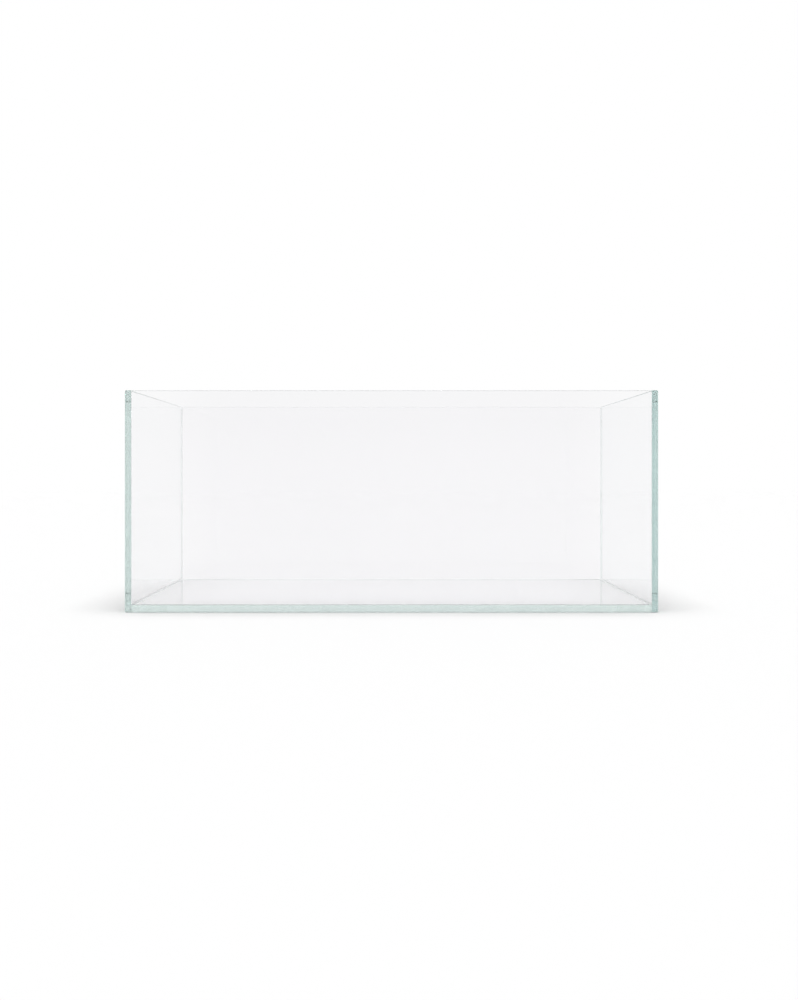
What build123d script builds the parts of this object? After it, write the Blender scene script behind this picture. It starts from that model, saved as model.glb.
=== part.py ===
from build123d import *
import os

# Shallow rimless glass aquarium.
# Frame: +X to the viewer's right, -Y towards the viewer (front), +Z up.
# Origin: centre of the footprint, on the surface that the tank stands on.
# Five flat glass panes, glued edge to face with clear silicone. The front and
# back panes run the full length and cover the ends of the side panes; the
# bottom pane lies inside the four walls, flush with their lower edges.

# ---- driving dimensions, millimetres ----
LENGTH = 600.0        # outside, along X
DEPTH = 360.0         # outside, along Y
HEIGHT = 250.0        # outside, along Z
WALL_T = 6.0          # thickness of the four walls
BOTTOM_T = 8.0        # thickness of the bottom pane
BOND = 0.8            # silicone between an edge and the face it is glued to
ARRIS = 0.35          # 45 degree ground arris on every long edge of the glass
CORNER_R = 1.5        # dubbed (rounded) corners of the wall panes
BEAD = 0.6            # leg of the small concave silicone bead inside each corner
BEAD_SAG = 0.24       # how far the bead's face is hollowed, as a share of its leg
WIPE = 0.10           # how far the wiped silicone is hollowed between two outer arrises

# ---- derived planes ----
X_OUT = LENGTH / 2                    # outer face of a side pane
X_IN = X_OUT - WALL_T                 # inner face of a side pane
Y_OUT = DEPTH / 2                     # outer face of the front or back pane
Y_IN = Y_OUT - WALL_T                 # inner face of the front or back pane
SIDE_LEN = 2 * (Y_IN - BOND)          # length of a side pane
BOTTOM_X = 2 * (X_IN - BOND)          # bottom pane along X
BOTTOM_Y = 2 * (Y_IN - BOND)          # bottom pane along Y
SEAM_TOP = HEIGHT - CORNER_R          # silicone is trimmed just below the rim
SEAM_FOOT = CORNER_R                  # and just above the standing edge

os.makedirs("parts", exist_ok=True)


def save(part, name):
    part.label = name
    export_step(part, "parts/" + name + ".step")


# ---- wall panes ----
# Each pane is a flat sheet with dubbed corners, extruded by its thickness, and
# both of its outlines are arrissed.

# Front pane: full length, outer face at Y = -Y_OUT.
with BuildPart() as front_glass:
    with BuildSketch(Plane.XZ.offset(Y_IN)) as sk:
        with Locations((0, HEIGHT / 2)):
            RectangleRounded(LENGTH, HEIGHT, CORNER_R)
    extrude(amount=WALL_T)
    faces = front_glass.faces().filter_by(Axis.Y)
    chamfer(faces.edges(), ARRIS)
save(front_glass.part, "front_glass")

# Back pane: full length, outer face at Y = +Y_OUT.
with BuildPart() as back_glass:
    with BuildSketch(Plane.XZ.offset(-Y_OUT)) as sk:
        with Locations((0, HEIGHT / 2)):
            RectangleRounded(LENGTH, HEIGHT, CORNER_R)
    extrude(amount=WALL_T)
    faces = back_glass.faces().filter_by(Axis.Y)
    chamfer(faces.edges(), ARRIS)
save(back_glass.part, "back_glass")

# Left pane: between front and back, outer face at X = -X_OUT.
with BuildPart() as left_glass:
    with BuildSketch(Plane.YZ.offset(-X_OUT)) as sk:
        with Locations((0, HEIGHT / 2)):
            RectangleRounded(SIDE_LEN, HEIGHT, CORNER_R)
    extrude(amount=WALL_T)
    faces = left_glass.faces().filter_by(Axis.X)
    chamfer(faces.edges(), ARRIS)
save(left_glass.part, "left_glass")

# Right pane: between front and back, outer face at X = +X_OUT.
with BuildPart() as right_glass:
    with BuildSketch(Plane.YZ.offset(X_IN)) as sk:
        with Locations((0, HEIGHT / 2)):
            RectangleRounded(SIDE_LEN, HEIGHT, CORNER_R)
    extrude(amount=WALL_T)
    faces = right_glass.faces().filter_by(Axis.X)
    chamfer(faces.edges(), ARRIS)
save(right_glass.part, "right_glass")

# ---- bottom pane, inside the walls ----
with BuildPart() as bottom_glass:
    with BuildSketch(Plane.XY) as sk:
        Rectangle(BOTTOM_X, BOTTOM_Y)
    extrude(amount=BOTTOM_T)
    faces = bottom_glass.faces().filter_by(Axis.Z)
    chamfer(faces.edges(), ARRIS)
save(bottom_glass.part, "bottom_glass")


# ---- silicone seams ----
# Every seam is one cured piece: the bond in the joint, which also fills the
# arrises on both sides of it, the small hollow-faced bead that it squeezes into
# the inside corner, and the wiped, slightly hollow face outside.

SAG = BEAD * BEAD_SAG                 # hollow of the bead's face at its middle


def hollow(a, b, corner):
    """The bead's free face from a to b, pulled towards the inside corner."""
    mid = (Vector(*a) + Vector(*b)) * 0.5
    pull = (Vector(*corner) - mid).normalized() * SAG
    m = mid + pull
    return ThreePointArc(a, (m.X, m.Y), b)


def vertical_seam(sx, sy):
    """Corner seam between the end of a side pane and the front or back pane."""
    a = (sx * (X_IN - BEAD), sy * Y_IN)
    b = (sx * X_IN, sy * (Y_IN - BOND - BEAD))
    with BuildPart() as seam:
        # the bond between the pane's end and the long pane's inner face
        with BuildSketch(Plane.XY.offset(SEAM_FOOT)) as bond:
            with BuildLine() as outline:
                Polyline(
                    (sx * X_OUT, sy * (Y_IN - BOND - ARRIS)),
                    (sx * (X_OUT - ARRIS), sy * (Y_IN - BOND)),
                    (sx * (X_IN + ARRIS), sy * (Y_IN - BOND)),
                    (sx * X_IN, sy * (Y_IN - BOND - ARRIS)),
                    (sx * X_IN, sy * Y_IN),
                    (sx * (X_OUT - ARRIS), sy * Y_IN),
                    (sx * X_OUT, sy * (Y_IN + ARRIS)),
                )
                ThreePointArc(
                    (sx * X_OUT, sy * (Y_IN + ARRIS)),
                    (sx * (X_OUT - WIPE), sy * (Y_IN - BOND / 2)),
                    (sx * X_OUT, sy * (Y_IN - BOND - ARRIS)),
                )
            make_face()
        extrude(amount=SEAM_TOP - SEAM_FOOT)
        # the bead, from the bottom pane up to the rim
        with BuildSketch(Plane.XY.offset(BOTTOM_T)) as bead:
            with BuildLine() as outline:
                hollow(a, b, (sx * X_IN, sy * Y_IN))
                Polyline(b, (sx * X_IN, sy * Y_IN), a)
            make_face()
        extrude(amount=SEAM_TOP - BOTTOM_T)
    return seam


seam_front_left = vertical_seam(-1, -1)
seam_front_right = vertical_seam(1, -1)
seam_back_left = vertical_seam(-1, 1)
seam_back_right = vertical_seam(1, 1)
save(seam_front_left.part, "seam_front_left")
save(seam_front_right.part, "seam_front_right")
save(seam_back_left.part, "seam_back_left")
save(seam_back_right.part, "seam_back_right")


def long_bottom_seam(sy, left, right):
    """Seam between the bottom pane and the front or back pane."""
    a = (sy * Y_IN, BOTTOM_T + BEAD)
    b = (sy * (Y_IN - BOND - BEAD), BOTTOM_T)
    with BuildPart() as seam:
        with BuildSketch(Plane.YZ.offset(-X_IN)) as section:
            with BuildLine() as outline:
                hollow(a, b, (sy * Y_IN, BOTTOM_T))
                Polyline(
                    b,
                    (sy * (Y_IN - BOND - ARRIS), BOTTOM_T),
                    (sy * (Y_IN - BOND), BOTTOM_T - ARRIS),
                    (sy * (Y_IN - BOND), ARRIS),
                    (sy * (Y_IN - BOND - ARRIS), 0),
                )
                ThreePointArc(
                    (sy * (Y_IN - BOND - ARRIS), 0),
                    (sy * (Y_IN - BOND / 2), WIPE),
                    (sy * (Y_IN + ARRIS), 0),
                )
                Polyline((sy * (Y_IN + ARRIS), 0), (sy * Y_IN, ARRIS), a)
            make_face()
        extrude(amount=2 * X_IN)
        add(left.part, mode=Mode.SUBTRACT)
        add(right.part, mode=Mode.SUBTRACT)
    return seam


seam_bottom_front = long_bottom_seam(-1, seam_front_left, seam_front_right)
seam_bottom_back = long_bottom_seam(1, seam_back_left, seam_back_right)
save(seam_bottom_front.part, "seam_bottom_front")
save(seam_bottom_back.part, "seam_bottom_back")


def short_bottom_seam(sx, front, back):
    """Seam between the bottom pane and a side pane, between the long seams."""
    a = (sx * X_IN, BOTTOM_T + BEAD)
    b = (sx * (X_IN - BOND - BEAD), BOTTOM_T)
    with BuildPart() as seam:
        with BuildSketch(Plane.XZ.offset(-(Y_IN - BOND))) as section:
            with BuildLine() as outline:
                hollow(a, b, (sx * X_IN, BOTTOM_T))
                Polyline(
                    b,
                    (sx * (X_IN - BOND - ARRIS), BOTTOM_T),
                    (sx * (X_IN - BOND), BOTTOM_T - ARRIS),
                    (sx * (X_IN - BOND), ARRIS),
                    (sx * (X_IN - BOND - ARRIS), 0),
                )
                ThreePointArc(
                    (sx * (X_IN - BOND - ARRIS), 0),
                    (sx * (X_IN - BOND / 2), WIPE),
                    (sx * (X_IN + ARRIS), 0),
                )
                Polyline((sx * (X_IN + ARRIS), 0), (sx * X_IN, ARRIS), a)
            make_face()
        extrude(amount=2 * (Y_IN - BOND))
        add(front.part, mode=Mode.SUBTRACT)
        add(back.part, mode=Mode.SUBTRACT)
        add(seam_bottom_front.part, mode=Mode.SUBTRACT)
        add(seam_bottom_back.part, mode=Mode.SUBTRACT)
        # the long seams' wiped groove runs on past the ends of this one
        with Locations((sx * X_IN, -(Y_IN - BOND), 0), (sx * X_IN, Y_IN - BOND, 0)):
            Box(4 * BOND, 2 * ARRIS, 2 * WIPE, mode=Mode.SUBTRACT)
    return seam


seam_bottom_left = short_bottom_seam(-1, seam_front_left, seam_back_left)
seam_bottom_right = short_bottom_seam(1, seam_front_right, seam_back_right)
save(seam_bottom_left.part, "seam_bottom_left")
save(seam_bottom_right.part, "seam_bottom_right")
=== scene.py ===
import bpy
import math
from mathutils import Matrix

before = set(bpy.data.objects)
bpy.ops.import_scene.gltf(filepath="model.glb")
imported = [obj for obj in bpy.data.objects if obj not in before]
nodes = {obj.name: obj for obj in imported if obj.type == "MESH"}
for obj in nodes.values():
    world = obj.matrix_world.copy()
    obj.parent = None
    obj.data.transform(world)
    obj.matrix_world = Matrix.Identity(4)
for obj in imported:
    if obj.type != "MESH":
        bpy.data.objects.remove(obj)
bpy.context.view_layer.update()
scene = bpy.context.scene

PANES = ("front_glass", "back_glass", "left_glass", "right_glass", "bottom_glass")
SEAMS = (
    "seam_front_left", "seam_front_right", "seam_back_left", "seam_back_right",
    "seam_bottom_front", "seam_bottom_back", "seam_bottom_left", "seam_bottom_right",
)


def new_material(name):
    mat = bpy.data.materials.new(name)
    mat.use_nodes = True
    tree = mat.node_tree
    tree.nodes.clear()
    out = tree.nodes.new("ShaderNodeOutputMaterial")
    return mat, tree, out


def feed(tree, socket, value):
    """Links an output into the socket, or sets a plain number or vector on it."""
    if isinstance(value, bpy.types.NodeSocket):
        tree.links.new(value, socket)
    else:
        socket.default_value = value


def math_node(tree, operation, a, b=0.0, c=0.0):
    n = tree.nodes.new("ShaderNodeMath")
    n.operation = operation
    for i, v in enumerate((a, b, c)):
        feed(tree, n.inputs[i], v)
    return n.outputs[0]


def map_range(tree, source, lo, hi, to_lo, to_hi):
    n = tree.nodes.new("ShaderNodeMapRange")
    n.interpolation_type = "SMOOTHSTEP"
    for socket, v in (("Value", source), ("From Min", lo), ("From Max", hi), ("To Min", to_lo), ("To Max", to_hi)):
        feed(tree, n.inputs[socket], v)
    return n.outputs[0]


def xyz(tree, source):
    n = tree.nodes.new("ShaderNodeSeparateXYZ")
    tree.links.new(source, n.inputs[0])
    return n.outputs


def stretched(tree, source, per_metre):
    """The place in metres, times so many cells per metre along each axis."""
    n = tree.nodes.new("ShaderNodeVectorMath")
    n.operation = "MULTIPLY"
    tree.links.new(source, n.inputs[0])
    n.inputs[1].default_value = per_metre
    return n.outputs[0]


def noise(tree, vector, detail=2.0, rough=0.5, distortion=0.0):
    n = tree.nodes.new("ShaderNodeTexNoise")
    tree.links.new(vector, n.inputs["Vector"])
    n.inputs["Scale"].default_value = 1.0
    n.inputs["Detail"].default_value = detail
    n.inputs["Roughness"].default_value = rough
    n.inputs["Distortion"].default_value = distortion
    return n.outputs[0]


def mixed_colour(tree, factor, a, b):
    n = tree.nodes.new("ShaderNodeMix")
    n.data_type = "RGBA"
    feed(tree, n.inputs[0], factor)
    feed(tree, n.inputs[6], a)
    feed(tree, n.inputs[7], b)
    return n.outputs[2]


def rgba(colour, times=1.0):
    return (*[v * times for v in colour], 1.0)


def glass_material(name, across, tint, absorbed, painted_lighter_ends=None, painted_dark_core=None):
    """One pane of float glass.

    across: the axis of its thickness. Its faces are drawn smooth and only carry
    faint wipe marks; the edges that lie along the other axes are ground and
    polished, with fine lines that run along them, and the narrow arrises between
    are ground matt. absorbed: the red, green and blue taken per metre.
    """
    mat, tree, out = new_material(name)
    place = tree.nodes.new("ShaderNodeTexCoord").outputs["Object"]
    where = xyz(tree, place)
    facing = xyz(tree, tree.nodes.new("ShaderNodeNewGeometry").outputs["Normal"])
    flat = math_node(tree, "ABSOLUTE", facing[across])
    edge = map_range(tree, flat, 0.80, 0.92, 1.0, 0.0)          # edges and arrises
    # silicone wets the ground glass that it lies on, and makes it clear: only the bare edges and arrises show their grinding
    bare = math_node(tree, "GREATER_THAN", where[2], 0.2486)
    depth = math_node(tree, "ABSOLUTE", where[1])
    if across == 0:
        bare = math_node(tree, "MAXIMUM", bare, math_node(tree, "LESS_THAN", depth, 0.1726))
    elif across == 1:
        bare = math_node(tree, "MAXIMUM", bare, math_node(tree, "GREATER_THAN", depth, 0.17437))
    shown = math_node(tree, "MULTIPLY", edge, math_node(tree, "MULTIPLY_ADD", bare, 0.85, 0.15))
    ground = math_node(tree, "MULTIPLY", edge, map_range(tree, flat, 0.45, 0.60, 0.0, 1.0))  # the arrises alone
    ground = math_node(tree, "MULTIPLY", ground, bare)

    # fine lines left by the polishing wheel, along each edge
    fine = [9.0, 9.0, 9.0]
    fine[across] = 2600.0
    lines = noise(tree, stretched(tree, place, fine), 3.0, 0.6)
    wheel = noise(tree, stretched(tree, place, (38.0, 38.0, 38.0)), 2.0)
    polish = math_node(tree, "ADD", map_range(tree, lines, 0.40, 0.72, 0.0, 0.016), map_range(tree, wheel, 0.45, 0.75, 0.0, 0.010))

    # wipe marks and a little dust on the faces: long soft arcs, and small spots
    wipe = [6.0, 6.0, 6.0]
    wipe[2 if across != 2 else 0] = 55.0
    wiped = noise(tree, stretched(tree, place, wipe), 3.0, 0.55, 0.6)
    patches = noise(tree, stretched(tree, place, (4.3, 4.3, 4.3)), 1.0)
    film = math_node(tree, "MULTIPLY", map_range(tree, wiped, 0.56, 0.74, 0.0, 1.0), map_range(tree, patches, 0.52, 0.70, 0.0, 1.0))
    specks = map_range(tree, noise(tree, stretched(tree, place, (420.0, 420.0, 420.0)), 1.0), 0.76, 0.82, 0.0, 1.0)
    face = math_node(tree, "ADD", math_node(tree, "MULTIPLY", film, 0.012), math_node(tree, "MULTIPLY", specks, 0.03))

    # roughness: the face, the polished edge, the matt arris
    rough = math_node(tree, "MULTIPLY", face, math_node(tree, "SUBTRACT", 1.0, edge))
    rough = math_node(tree, "MULTIPLY_ADD", polish, shown, rough)
    matt = math_node(tree, "ADD", 0.40, math_node(tree, "MULTIPLY", lines, 0.14))
    rough = math_node(tree, "MULTIPLY_ADD", matt, ground, rough)

    # colour: a very slow change over the pane, a trace of film, and below, a painted lightening towards the ends and
    # a painted shade band
    slow = noise(tree, stretched(tree, place, (3.1, 3.1, 3.1)), 1.0)
    colour = mixed_colour(tree, map_range(tree, slow, 0.3, 0.7, 0.0, 1.0), rgba(tint, 0.997), rgba(tint, 1.003))
    colour = mixed_colour(tree, math_node(tree, "MULTIPLY", film, 0.5), colour, rgba(tint, 0.985))
    if painted_lighter_ends:
        # painted light: the pane's colour turns lighter towards its two ends, standing in for the brighter look there
        lo, hi, ends = painted_lighter_ends
        side = map_range(tree, math_node(tree, "ABSOLUTE", where[0]), lo, hi, 0.0, 1.0)
        colour = mixed_colour(tree, side, colour, rgba(ends))
    if painted_dark_core:
        # painted shade: a darker band on the pane's end at a place in its thickness, standing in for the dark core
        # seen along the green edge
        middle, width, shade = painted_dark_core
        off = math_node(tree, "ABSOLUTE", math_node(tree, "SUBTRACT", where[0], middle))
        painted_core_band = map_range(tree, off, width * 0.35, width * 0.65, 1.0, 0.0)
        ends = map_range(tree, math_node(tree, "ABSOLUTE", facing[1]), 0.4, 0.6, 0.0, 1.0)
        colour = mixed_colour(tree, math_node(tree, "MULTIPLY", painted_core_band, ends), colour, rgba(shade))

    bump = tree.nodes.new("ShaderNodeBump")
    bump.inputs["Strength"].default_value = 0.045
    bump.inputs["Distance"].default_value = 0.00005
    tree.links.new(math_node(tree, "MULTIPLY", lines, shown), bump.inputs["Height"])

    p = tree.nodes.new("ShaderNodeBsdfPrincipled")
    tree.links.new(colour, p.inputs["Base Color"])
    tree.links.new(rough, p.inputs["Roughness"])
    tree.links.new(bump.outputs[0], p.inputs["Normal"])
    p.inputs["IOR"].default_value = 1.52
    p.inputs["Transmission Weight"].default_value = 1.0
    tree.links.new(p.outputs[0], out.inputs["Surface"])
    v = tree.nodes.new("ShaderNodeVolumeAbsorption")
    most = max(absorbed)
    v.inputs["Color"].default_value = (*[1 - a / most for a in absorbed], 1)
    v.inputs["Density"].default_value = most
    tree.links.new(v.outputs[0], out.inputs["Volume"])
    return mat


def silicone_material(name, clear):
    """Cured clear silicone: a little cloudy, with a rolling surface and a few small bubbles.

    clear: how much light passes the free face of the bead.
    """
    mat, tree, out = new_material(name)
    place = tree.nodes.new("ShaderNodeTexCoord").outputs["Object"]
    roll = noise(tree, stretched(tree, place, (95.0, 95.0, 95.0)), 2.0, 0.4)
    grain = noise(tree, stretched(tree, place, (1500.0, 1500.0, 1500.0)), 2.0)
    cloud = noise(tree, stretched(tree, place, (30.0, 30.0, 30.0)), 3.0)
    cells = tree.nodes.new("ShaderNodeTexVoronoi")
    cells.inputs["Scale"].default_value = 210.0
    tree.links.new(place, cells.inputs["Vector"])
    chosen = map_range(tree, xyz(tree, cells.outputs["Color"])[0], 0.84, 0.86, 0.0, 1.0)
    bubble = math_node(tree, "MULTIPLY", map_range(tree, cells.outputs["Distance"], 0.06, 0.14, 1.0, 0.0), chosen)

    colour = mixed_colour(tree, map_range(tree, cloud, 0.35, 0.7, 0.0, 1.0), (0.975, 0.985, 0.983, 1), (0.955, 0.967, 0.966, 1))
    colour = mixed_colour(tree, math_node(tree, "MULTIPLY", bubble, 0.6), colour, (0.90, 0.92, 0.92, 1))
    # smooth where it is bonded to glass; satin on the tooled face of the bead, which is all that lies inside
    # the tank, and half smooth where it was wiped flush outside
    where = [math_node(tree, "ABSOLUTE", v) for v in xyz(tree, place)]
    facing = [math_node(tree, "ABSOLUTE", v) for v in xyz(tree, tree.nodes.new("ShaderNodeNewGeometry").outputs["Normal"])]
    tooled = math_node(tree, "MULTIPLY", math_node(tree, "LESS_THAN", where[0], 0.29397), math_node(tree, "LESS_THAN", where[1], 0.17397))
    tooled = math_node(tree, "MULTIPLY", tooled, math_node(tree, "GREATER_THAN", where[2], 0.00803))
    side = math_node(tree, "MULTIPLY", math_node(tree, "GREATER_THAN", where[0], 0.2997), math_node(tree, "GREATER_THAN", facing[0], 0.9))
    under = math_node(tree, "MULTIPLY", math_node(tree, "LESS_THAN", where[2], 0.0002), math_node(tree, "GREATER_THAN", facing[2], 0.9))
    wiped = math_node(tree, "MAXIMUM", side, under)
    satin = math_node(tree, "ADD", map_range(tree, cloud, 0.3, 0.7, 0.55, 0.70), math_node(tree, "MULTIPLY", bubble, 0.15))
    rough = math_node(tree, "MULTIPLY", satin, tooled)
    rough = math_node(tree, "MULTIPLY_ADD", wiped, 0.22, rough)

    height = math_node(tree, "MULTIPLY_ADD", grain, 0.06, roll)
    height = math_node(tree, "MULTIPLY_ADD", bubble, 0.35, height)
    height = math_node(tree, "MULTIPLY", height, math_node(tree, "MAXIMUM", tooled, wiped))
    bump = tree.nodes.new("ShaderNodeBump")
    bump.inputs["Strength"].default_value = 0.25
    bump.inputs["Distance"].default_value = 0.0004
    tree.links.new(height, bump.inputs["Height"])

    p = tree.nodes.new("ShaderNodeBsdfPrincipled")
    tree.links.new(colour, p.inputs["Base Color"])
    tree.links.new(rough, p.inputs["Roughness"])
    tree.links.new(bump.outputs[0], p.inputs["Normal"])
    p.inputs["IOR"].default_value = 1.41
    tree.links.new(math_node(tree, "MULTIPLY_ADD", tooled, clear - 1.0, 1.0), p.inputs["Transmission Weight"])
    tree.links.new(p.outputs[0], out.inputs["Surface"])
    return mat


X, Y, Z = 0, 1, 2
# painted shade: the five panes are one glass, yet each is given its own tint and absorption, set to how dark it
# looks; the darker front and bottom tints against the near-clear back, and the right pane's stronger absorption than
# the left, are painted shade
glass = {
    # the front pane's lighter ends are painted light
    "front_glass": glass_material("pane_glass_front", Y, (0.938, 0.933, 0.944), (0.95, 0.55, 0.68), painted_lighter_ends=(0.19, 0.27, (0.961, 0.957, 0.963))),
    "back_glass": glass_material("pane_glass_back", Y, (0.996, 0.991, 0.997), (0.95, 0.55, 0.68)),
    # the left and right panes carry a painted shade band on their ends, for the dark core of the green edges
    "left_glass": glass_material("pane_glass_left", X, (0.985, 0.985, 0.99), (1.10, 0.67, 0.79), painted_dark_core=(-0.2945, 0.0012, (0.86, 0.91, 0.91))),
    "right_glass": glass_material("pane_glass_right", X, (0.985, 0.985, 0.99), (1.58, 0.89, 1.00), painted_dark_core=(0.2955, 0.0022, (0.80, 0.87, 0.87))),
    "bottom_glass": glass_material("pane_glass_bottom", Z, (0.940, 0.931, 0.944), (0.61, 0.25, 0.40)),
}
clear_silicone = silicone_material("seam_silicone", 0.6)
cloudy_silicone = silicone_material("seam_silicone_cloudy", 0.1)


def assign(obj, mat):
    for s in obj.material_slots:
        s.material = mat


for name in PANES:
    assign(nodes[name], glass[name])
for name in SEAMS:
    assign(nodes[name], cloudy_silicone if name in ("seam_bottom_left", "seam_bottom_right") else clear_silicone)
    swell = nodes[name].modifiers.new("wet_out", "DISPLACE")
    swell.mid_level = 0.0
    swell.strength = 0.00003

# ---- floor ----
bpy.ops.mesh.primitive_plane_add(size=60, location=(0, 0, -0.0002))
floor = bpy.context.object
floor.name = "studio_floor"
fmat, ftree, fout = new_material("studio_floor")
fb = ftree.nodes.new("ShaderNodeBsdfDiffuse")
fb.inputs["Color"].default_value = (0.8, 0.8, 0.8, 1)
# far from the tank it fades, grain by grain, into a glow as bright as itself and the surround, so that no
# horizon line shows
fplace = ftree.nodes.new("ShaderNodeTexCoord").outputs["Object"]
away = ftree.nodes.new("ShaderNodeVectorMath")
away.operation = "LENGTH"
ftree.links.new(fplace, away.inputs[0])
grain = ftree.nodes.new("ShaderNodeTexWhiteNoise")
ftree.links.new(stretched(ftree, fplace, (997.0, 997.0, 997.0)), grain.inputs["Vector"])
faded = map_range(ftree, away.outputs["Value"], 1.2, 12.0, 0.0, 1.0)
glow = ftree.nodes.new("ShaderNodeEmission")
glow.inputs["Color"].default_value = (1, 1, 1, 1)
glow.inputs["Strength"].default_value = 1.0
fade = ftree.nodes.new("ShaderNodeMixShader")
ftree.links.new(math_node(ftree, "GREATER_THAN", faded, grain.outputs["Value"]), fade.inputs[0])
ftree.links.new(fb.outputs[0], fade.inputs[1])
ftree.links.new(glow.outputs[0], fade.inputs[2])
ftree.links.new(fade.outputs[0], fout.inputs["Surface"])
fmat.cycles.emission_sampling = "NONE"
floor.data.materials.append(fmat)

# ---- key light: broad and soft, from above and in front ----
SKY = 0.35
sun_data = bpy.data.lights.new("key_light", "SUN")
sun_data.angle = math.radians(40)
sun_data.energy = 2.345
sun_data.cycles.use_multiple_importance_sampling = False
sun = bpy.data.objects.new("key_light", sun_data)
scene.collection.objects.link(sun)
sun.rotation_euler = (math.radians(5), 0, 0)
blockers = bpy.data.collections.new("key_blockers")
for name in ("left_glass", "right_glass", "front_glass"):
    blockers.objects.link(nodes[name])
sun.light_linking.blocker_collection = blockers
lit = bpy.data.collections.new("key_lit")
lit.objects.link(floor)
for name in SEAMS:
    lit.objects.link(nodes[name])
sun.light_linking.receiver_collection = lit

# ---- world ----
world = bpy.data.worlds.new("studio")
scene.world = world
world.use_nodes = True
wt = world.node_tree
wt.nodes.clear()
wo = wt.nodes.new("ShaderNodeOutputWorld")
bg = wt.nodes.new("ShaderNodeBackground")
tc = wt.nodes.new("ShaderNodeTexCoord")
sep = wt.nodes.new("ShaderNodeSeparateXYZ")
wt.links.new(tc.outputs["Generated"], sep.inputs[0])


overhead = map_range(wt, sep.outputs["Z"], 0.36, 0.62, 1.0, SKY)

# the darker end of the room, behind the viewer and above the floor
facing = map_range(wt, sep.outputs["Y"], -0.97, -0.82, 1.0, 0.0)
raised = map_range(wt, sep.outputs["Z"], 0.0, 0.09, 0.0, 1.0)
dim = math_node(wt, "MULTIPLY", facing, raised)
dim = math_node(wt, "MULTIPLY", dim, 0.15)
keep = math_node(wt, "SUBTRACT", 1.0, dim)
strength = math_node(wt, "MULTIPLY", overhead, keep)
wt.links.new(strength, bg.inputs["Strength"])
bg.inputs["Color"].default_value = (1, 1, 1, 1)
wt.links.new(bg.outputs[0], wo.inputs["Surface"])

# ---- camera ----
FRONT_Y = -0.18
DIST = 1.416
cam_data = bpy.data.cameras.new("camera")
cam = bpy.data.objects.new("camera", cam_data)
scene.collection.objects.link(cam)
cam_data.sensor_width = 36.0
cam_data.lens = 36.0 * DIST / 1.125
cam.location = (0.0, FRONT_Y - DIST, 0.1558)
cam.rotation_euler = (math.radians(90), 0, 0)
cam_data.shift_x = 0.0075
cam_data.shift_y = -0.026
cam_data.clip_end = 100
scene.camera = cam

# ---- light paths: long runs of internal reflection along the panes ----
c = scene.cycles
c.max_bounces = 256
c.glossy_bounces = 256
c.transmission_bounces = 256
c.transparent_max_bounces = 32
c.diffuse_bounces = 6
c.blur_glossy = 0.0
c.use_denoising = True
scene.view_settings.view_transform = "Standard"
